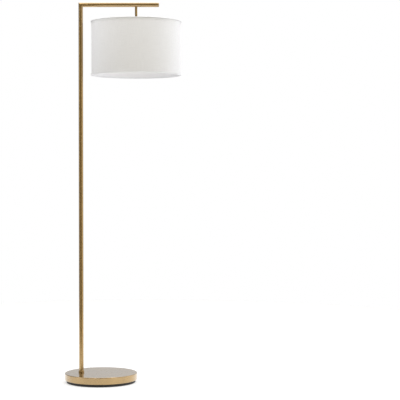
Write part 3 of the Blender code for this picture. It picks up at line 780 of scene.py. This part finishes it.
def mitred_arm():
    """Leg and arm with a crisp welded corner, hollow, with the stem's slot underneath."""
    low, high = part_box("arm")
    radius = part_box("pole_upper")[1].x - POLE_X
    leg_steps, arm_steps = 5, 16

    def line(r, angle):
        """One line along the tube's skin, from the leg's foot to the arm's end."""
        x, y = r * math.cos(angle), r * math.sin(angle)
        corner = Vector((POLE_X + x, y, ARM_Z - x))
        foot = Vector((POLE_X + x, y, low.z))
        end = Vector((high.x, y, ARM_Z - x))
        leg = [foot.lerp(corner, k / leg_steps) for k in range(leg_steps)]
        leg.append(corner - Vector((0, 0, WELD)))
        bar = [corner + Vector((WELD, 0, 0))]
        bar += [corner.lerp(end, k / arm_steps) for k in range(1, arm_steps + 1)]
        a, b = leg[-1], bar[0]
        bend = [a * (1 - t) ** 2 + corner * 2 * t * (1 - t) + b * t**2 for t in (0.25, 0.5, 0.75)]
        return leg + bend + bar

    shape = bmesh.new()
    layer = shape.loops.layers.uv.new("threads")
    skins = []
    for r in (radius, radius - ARM_WALL):
        rows = [line(r, 2 * math.pi * k / TUBE) for k in range(TUBE)]
        skins.append([[shape.verts.new(p) for p in row] for row in rows])
    for skin in skins:
        for k in range(TUBE):
            a, b = skin[k], skin[(k + 1) % TUBE]
            for i in range(len(a) - 1):
                shape.faces.new((a[i], b[i], b[i + 1], a[i + 1]))
    outer, inner = skins
    for end in (0, -1):
        for k in range(TUBE):
            j = (k + 1) % TUBE
            shape.faces.new((outer[k][end], outer[j][end], inner[j][end], inner[k][end]))
    for face in shape.faces:
        for loop in face.loops:
            loop[layer].uv = (loop.vert.co.y, loop.vert.co.z + loop.vert.co.x)
    mesh = finish_mesh("arm_tube", shape, 30)
    cut_with(new_piece("arm_tube", mesh, "bar", "stand", ("arm",)), stem_slot())


def stem_slot():
    """Cutter for the long hole under the swivel, which reaches further out than in."""
    shape = bmesh.new()
    turn = Matrix.Rotation(math.pi / STEM_HOLE_SIDES, 4, "Z")
    bmesh.ops.create_cone(
        shape, cap_ends=True, segments=STEM_HOLE_SIDES, radius1=STEM_HOLE, radius2=STEM_HOLE,
        depth=STEM_HOLE_DEPTH, matrix=Matrix.Translation((0, 0, -STEM_HOLE_DEPTH / 2)) @ turn,
    )
    for vert in shape.verts:
        vert.co.x += STEM_HOLE_OUT if vert.co.x > 0 else -STEM_HOLE_IN
        vert.co += Vector((STEM_X, 0, ARM_Z))
    return tool(shape)


def arm_end():
    """The plug in the arm's open end."""
    end = (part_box("arm_end_cap")[1].x, 0, ARM_Z)
    copy_turned(
        "arm_plug", "arm_end_cap", "bar", "stand", "satin_brass", end, ALONG_ARM,
        radius=0.0012, steps=6,
    )


def stem():
    """The thin tube that the lamp holder hangs from."""
    copy_turned(
        "drop_tube", "drop_stem", "tube", "stem", "satin_brass", STEM_AXIS,
        radius=0.0003, change=densified(0.01),
    )


# Lamp holder, switch and bulb --------------------------------------------------------------


def holder():
    """Brass dome, threaded moulding and the ring nut on it."""
    head = "shade_head"
    copy_turned(
        "holder_dome", "holder_cap", "tube", head, "satin_brass", STEM_AXIS,
        radius=0.0010, steps=5,
    )
    thread_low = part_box("holder_body")[0].z + 0.001
    thread_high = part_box("shade_ring")[1].z - 0.0004
    # The outline is read on the side away from the switch's hole.
    body = copy_turned(
        "holder_moulding", "holder_body", "black", head, "black_plastic", STEM_AXIS,
        meridian=180, radius=0.0007, segments=HOLDER,
        **threaded(0.0185, thread_low, thread_high, pitch=0.0026, depth=0.0006, step=0.0004),
    )
    wall = (STEM_X + 0.018, 0, middle("switch_spindle").z)
    cut_with(body, drill(wall, (1, 0, 0), radius=0.0029, length=0.012, segments=SMALL))
    copy_turned(
        "clamp_ring", "shade_ring", "black", head, "black_plastic", STEM_AXIS,
        radius=0.0005, segments=FLUTED, wave=flutes(inner=0.0205, count=36, depth=0.0006),
    )


def switch():
    """The rotary switch's axle, and its knob with a smooth rim at the outer end."""
    centre = (STEM_X, 0, middle("switch_spindle").z)
    copy_turned(
        "knob_axle", "switch_spindle", "zinc", "knob", "zinc_steel", centre, ALONG_ARM,
        segments=SMALL,
    )
    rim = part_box("switch_knob")[1].x - STEM_X - 0.0016
    copy_turned(
        "knob_moulding", "switch_knob", "black", "knob", "black_plastic", centre, ALONG_ARM,
        radius=0.0009, segments=FLUTED, wave=flutes(inner=0.0060, count=18, depth=0.0009, high=rim),
    )


def bulb():
    """Screw cap, white housing and frosted dome."""
    low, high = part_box("bulb_cap")
    copy_turned(
        "bulb_thread", "bulb_cap", "nickel", "bulb", "bulb_metal", STEM_AXIS, segments=72,
        **threaded(0.0122, low.z + 0.001, high.z - 0.0035, pitch=0.0036, depth=0.0007, step=0.0005),
    )
    copy_turned(
        "bulb_body", "bulb_housing", "nylon", "bulb", "white_plastic", STEM_AXIS,
        radius=0.0006, segments=HOLDER,
    )
    copy_turned(
        "bulb_globe", "bulb_dome", "dome", "bulb", "frosted_dome", STEM_AXIS,
        radius=0.003, segments=HOLDER, steps=6,
    )


# Shade -------------------------------------------------------------------------------------

WIRE_RADIUS = 0.00172
WIRE_SIDES = 20

# Points in one section of a CAD wire.
CAD_WIRE_SIDES = 6

# The edge strips: their rolled bead, their underside's and face's distance from the cloth, the
# fold inside the drum from the bead's outside, its depth and thickness, and the cut edges.
BEAD = 0.0016
HEM_UNDER = 0.0004
HEM_FACE = 0.0009
HEM_INWARDS = 0.009
HEM_FOLD_DEPTH = 0.0061
HEM_FOLD_THICKNESS = 0.00065
HEM_CUT = 0.0003

# How far the strips waver in and out, which grows over a depth from the edge, and up and down.
HEM_WAVER_IN = 0.00014
HEM_WAVER_REACH = 0.006
HEM_WAVER_UP = 0.00012


def spider():
    """Hub and three bent wires that carry the drum's top ring."""
    head = "shade_head"
    copy_turned(
        "spider_hub", "shade_hub", "wire", head, "white_wire", STEM_AXIS,
        radius=0.0007, segments=HOLDER,
    )
    low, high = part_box("shade_hub")
    # Each wire starts a little inside the hub's rim.
    weld = (high.x - low.x) / 2 - 0.004
    for i in (1, 2, 3):
        node, name = f"spoke_{i}", f"spider_wire_{i}"
        path = spoke_path(node)
        centre = Vector((STEM_X, 0, path[0].z))
        inner = centre + (path[0] - centre).normalized() * weld
        path = [inner, inner.lerp(path[0], 0.6)] + path
        wire = swept(smooth_path(path, samples=5), WIRE_RADIUS, WIRE_SIDES)
        new_piece(name, finish_mesh(name, wire), "wire", head, (node,))


def spoke_path(node):
    """The middles of a CAD wire's sections, from the hub outwards."""
    centre = Vector(STEM_AXIS)
    points = sorted(
        {tuple(round(c, 6) for c in vert.co) for vert in NODES[node].data.vertices},
        key=lambda p: (Vector((p[0], p[1], 0)) - centre).length,
    )
    starts = range(0, len(points), CAD_WIRE_SIDES)
    sections = [points[k : k + CAD_WIRE_SIDES] for k in starts]
    return [Vector([sum(p[a] for p in s) / len(s) for a in range(3)]) for s in sections]


def smooth_path(points, samples):
    """Points on a smooth curve through the given ones, with so many to each stretch."""
    knots = [2 * points[0] - points[1]] + points + [2 * points[-1] - points[-2]]
    out = []
    for a, b, c, d in zip(knots, knots[1:], knots[2:], knots[3:]):
        for i in range(samples):
            t = i / samples
            square = (2 * a - 5 * b + 4 * c - d) * t**2
            cube = (3 * b - a - 3 * c + d) * t**3
            out.append(0.5 * (2 * b + (c - a) * t + square + cube))
    return out + [points[-1]]


def ripples(seed, count, fewest, most):
    """Random waves round a turn, each with its number of crests, its phase and its size."""
    rng = random.Random(seed)
    return [
        (rng.randint(fewest, most), rng.uniform(0, 6.28), rng.uniform(0.3, 1.0))
        for _ in range(count)
    ]


def drum_wave(amount):
    """The slight unevenness of a hand-rolled drum."""
    terms = ripples(seed=4, count=6, fewest=2, most=9)

    def wave(radius, height, angle):
        bend = sum(a * math.sin(n * angle + p + height * 9.0) for n, p, a in terms)
        return radius + amount * bend / 3.0, height

    return wave


def shade():
    """Cloth on its lining, with the lap and the edge strips that belong to it."""
    low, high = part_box("shade_fabric")
    drum = {"radius": 0.0001, "segments": DRUM, "steps": 2}
    drum.update(change=densified(0.006), wave=drum_wave(0.00018))
    head = "shade_head"
    fabric = copy_turned("shade_cloth", "shade_fabric", "fabric", head, "fabric", STEM_AXIS, **drum)
    copy_turned("shade_lining", "shade_liner", "liner", head, "liner", STEM_AXIS, **drum)
    lap = seam(low, high)
    trims = [
        hem("trim_top", "hem_top", up=1, seed=11),
        hem("trim_bottom", "hem_bottom", up=-1, seed=12),
    ]


def seam(low, high):
    """The lapped joint of the cloth, at the back of the drum by the pole."""
    radius = (high.x - low.x) / 2
    bottom, top = low.z + LAP_MARGIN, high.z - LAP_MARGIN
    columns, rows = 8, 36
    inner_face = radius + LAP_LIFT
    outer_face = inner_face + LAP_THICKNESS
    shape = bmesh.new()
    layer = shape.loops.layers.uv.new("threads")
    grids = []
    for face, sunk_edge in ((outer_face, LAP_THICKNESS * 0.6), (inner_face, 0.0)):
        grid = []
        for j in range(rows + 1):
            z = bottom + (top - bottom) * j / rows
            row = []
            for i in range(columns + 1):
                a = math.radians(LAP_ANGLE) + (i / columns - 0.5) * LAP_WIDTH / radius
                r = face - sunk_edge if i in (0, columns) else face
                row.append(shape.verts.new((STEM_X + r * math.cos(a), r * math.sin(a), z)))
            grid.append(row)
        grids.append(grid)
    for grid in grids:
        for a, b in zip(grid, grid[1:]):
            for i in range(columns):
                shape.faces.new((a[i], a[i + 1], b[i + 1], b[i]))
    front, back = grids
    rim = [(0, i) for i in range(columns)] + [(j, columns) for j in range(rows)]
    rim += [(rows, i) for i in range(columns, 0, -1)] + [(j, 0) for j in range(rows, 0, -1)]
    for (j0, i0), (j1, i1) in zip(rim, rim[1:] + rim[:1]):
        shape.faces.new((front[j0][i0], front[j1][i1], back[j1][i1], back[j0][i0]))
    for face in shape.faces:
        for loop in face.loops:
            place = loop.vert.co
            loop[layer].uv = (math.atan2(place.y, place.x - STEM_X) * radius, place.z)
    return new_piece("cloth_lap", finish_mesh("cloth_lap", shape), "fabric", "shade_head")


def hem(name, node, up, seed):
    """Rolled strip over the drum's edge: a bead round the wire, then a flat fold."""
    low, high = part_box(node)
    edge = high.z if up > 0 else low.z
    fabric_low, fabric_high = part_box("shade_fabric")
    cloth = (fabric_high.x - fabric_low.x) / 2
    outline = hem_outline((high.x - low.x) / 2, cloth, edge, up, high.z - low.z)
    terms = ripples(seed, count=8, fewest=5, most=40)

    def wave(radius, height, angle):
        """Hand-rolled unevenness, on the outside only, which fades in from the drum's edge."""
        if radius < cloth:
            return radius, height
        push = sum(a * math.sin(n * angle + p) for n, p, a in terms) / 4.0
        lift = HEM_WAVER_IN * push * min(1.0, abs(height - edge) / HEM_WAVER_REACH)
        return radius - abs(lift), height - up * HEM_WAVER_UP * push

    shape = lathe(outline, (STEM_X, 0.0), DRUM, closed=True, wave=wave)
    return new_piece(name, finish_mesh(name, shape), "hem", "shade_head", (node,))


def bead_arc(centre, start, end, steps, up):
    """Part of the bead's circle, in degrees, turned over for the drum's lower edge."""
    turns = [math.radians(start + (end - start) * k / steps) for k in range(steps + 1)]
    return [(centre[0] + BEAD * math.cos(a), centre[1] + up * BEAD * math.sin(a)) for a in turns]


def hem_outline(outer, cloth, edge, up, height):
    """Cross-section of the rolled strip, from its lower outside edge over the top and in."""
    under, face = cloth + HEM_UNDER, cloth + HEM_FACE
    inner = outer - HEM_INWARDS
    back = inner + HEM_FOLD_THICKNESS
    outline = [
        (under, edge - up * height),
        (face, edge - up * (height - 0.0005)),
        (face, edge - up * (2 * BEAD + 0.0012)),
        (face - HEM_CUT, edge - up * (2 * BEAD + 0.0004)),
    ]
    outline += bead_arc((outer - BEAD, edge - up * BEAD), -60, 90, 10, up)
    outline += bead_arc((inner + BEAD, edge - up * BEAD), 90, 180, 6, up)
    outline += [
        (inner, edge - up * (HEM_FOLD_DEPTH - HEM_CUT)),
        (inner + HEM_CUT, edge - up * HEM_FOLD_DEPTH),
        (back, edge - up * HEM_FOLD_DEPTH),
        (back, edge - up * BEAD),
        (under, edge - up * BEAD),
    ]
    return outline


# Stage, light and camera -------------------------------------------------------------------

FLOOR_RADIUS = 2.2
FLOOR_CENTRE = (0.1, 1.2)
FLOOR_DROP = 0.0006

# Radiance of the room around the lamp, as its reflections see it: in front, behind and above.
ROOM_FRONT = 0.29
ROOM_BACK = 0.66
ROOM_TOP = 0.62

# The walls gain the first towards the right and lose it towards the left, and lose the second at
# both. That leaves the left side dark, and the right side as bright as the back.
ROOM_SIDE = 0.255
ROOM_DIP = 0.255
FRONT_TINT = (1.0, 0.86, 0.53)

# The lights that face the shade aim at this X.
AIM_X = 0.14

# Area lights: name, place, the point that it faces, width and height, and its face's radiance.
AREA_LIGHTS = (
    ("softbox_right", (2.23, 0.68, 1.3), (AIM_X, 0, 1.1), (1.6, 2.6), 0.58),
    ("softbox_key", (-0.54, -0.74, 2.15), (AIM_X, 0, 1.35), (0.6, 0.6), 6.2),
    ("softbox_fill", (1.26, -0.74, 2.65), (AIM_X, 0, 1.3), (0.9, 0.9), 5.4),
    ("strip_left", (-1.77, -0.62, 0.75), (POLE_X, 0, 0.75), (0.35, 2.0), 1.9),
    ("strip_right", (1.38, -1.22, 0.75), (POLE_X, 0, 0.75), (0.23, 2.0), 1.8),
    ("softbox_ceiling", (0.1, 1.1, 3.0), (0.1, 1.1, 0.0), (3.0, 3.0), 1.7),
)

# The camera looks level along +Y but for its pitch, in degrees below level.
CAMERA_PLACE = (0.3976, -5.234, 0.844)
CAMERA_PITCH = 1.236
SENSOR_WIDTH = 36.0
FOCAL_LENGTH = 117.56


def floor():
    """White disc that glows enough to be lost in the backdrop."""
    shape = bmesh.new()
    bmesh.ops.create_circle(shape, cap_ends=True, segments=128, radius=FLOOR_RADIUS)
    mesh = bpy.data.meshes.new("studio_floor")
    shape.to_mesh(mesh)
    shape.free()
    disc = in_scene("studio_floor", mesh)
    disc.location = (*FLOOR_CENTRE, -FLOOR_DROP)
    n = Nodes("studio_white", (0.54, 0.54, 0.54), 0.9)
    n.set(Emission_Color=(1.0, 1.0, 1.0, 1.0), Emission_Strength=0.54)
    mesh.materials.append(n.material)


def world():
    """Pure white behind the lamp, and a graded room for its reflections.

    The room is dark and warm in front, up to about 50 degrees, and dark on the left.
    """
    made = bpy.data.worlds.new("studio")
    made.use_nodes = True
    made.node_tree.nodes.clear()
    n = Tree(made.node_tree)
    split = n.add("SeparateXYZ")
    n.link(n.add("TexCoord").outputs["Generated"], split, 0)
    x, y, z = split.outputs
    dip = n.maths("MULTIPLY", n.maths("MULTIPLY", x, x), ROOM_DIP)
    sides = n.maths("SUBTRACT", n.maths("MULTIPLY_ADD", x, ROOM_SIDE, ROOM_BACK), dip)
    upper = n.ramp(z, 0.0, 1.0, 0.1, 0.9, "SMOOTHSTEP")
    walls = n.maths("MULTIPLY_ADD", n.maths("SUBTRACT", ROOM_TOP, sides), upper, sides)
    facing = n.ramp(y, 1.0, 0.0, -0.95, -0.25, "SMOOTHSTEP")
    lower = n.ramp(z, 1.0, 0.0, 0.60, 0.85, "SMOOTHSTEP")
    front = n.maths("MULTIPLY", facing, lower)
    room = n.maths("MULTIPLY_ADD", n.maths("SUBTRACT", ROOM_FRONT, walls), front, walls)
    tint = n.blend(front, (1.0, 1.0, 1.0), FRONT_TINT)
    mix = n.add("MixShader")
    n.link(n.add("LightPath").outputs["Is Camera Ray"], mix, 0)
    for socket, strength, colour in ((1, room, tint), (2, 1.0, (1.0, 1.0, 1.0, 1.0))):
        background = n.add("Background")
        n.link(strength, background, "Strength")
        n.link(colour, background, "Color")
        n.link(background.outputs[0], mix, socket)
    n.link(mix.outputs[0], n.add("OutputWorld"), "Surface")
    bpy.context.scene.world = made


def lights():
    """Area lights, each given by how bright its face is."""
    for name, place, aim, size, radiance in AREA_LIGHTS:
        data = bpy.data.lights.new(name, "AREA")
        data.shape = "RECTANGLE"
        data.size, data.size_y = size
        data.energy = radiance * math.pi * size[0] * size[1]
        lamp = in_scene(name, data)
        lamp.location = place
        lamp.rotation_euler = (Vector(aim) - Vector(place)).to_track_quat("-Z", "Y").to_euler()


def camera():
    """Long lens, from a little over half the lamp's height."""
    data = bpy.data.cameras.new("camera")
    data.sensor_width = SENSOR_WIDTH
    data.lens = FOCAL_LENGTH
    data.clip_start = 0.1
    data.clip_end = 100.0
    made = in_scene("camera", data)
    made.location = CAMERA_PLACE
    made.rotation_euler = (math.radians(90 - CAMERA_PITCH), 0.0, 0.0)
    bpy.context.scene.camera = made


def build():
    base()
    bushing()
    carried_over()
    pole()
    mitred_arm()
    arm_end()
    stem()
    holder()
    switch()
    bulb()
    spider()
    shade()
    floor()
    world()
    lights()
    camera()
    bpy.context.scene.view_settings.view_transform = "Standard"


build()
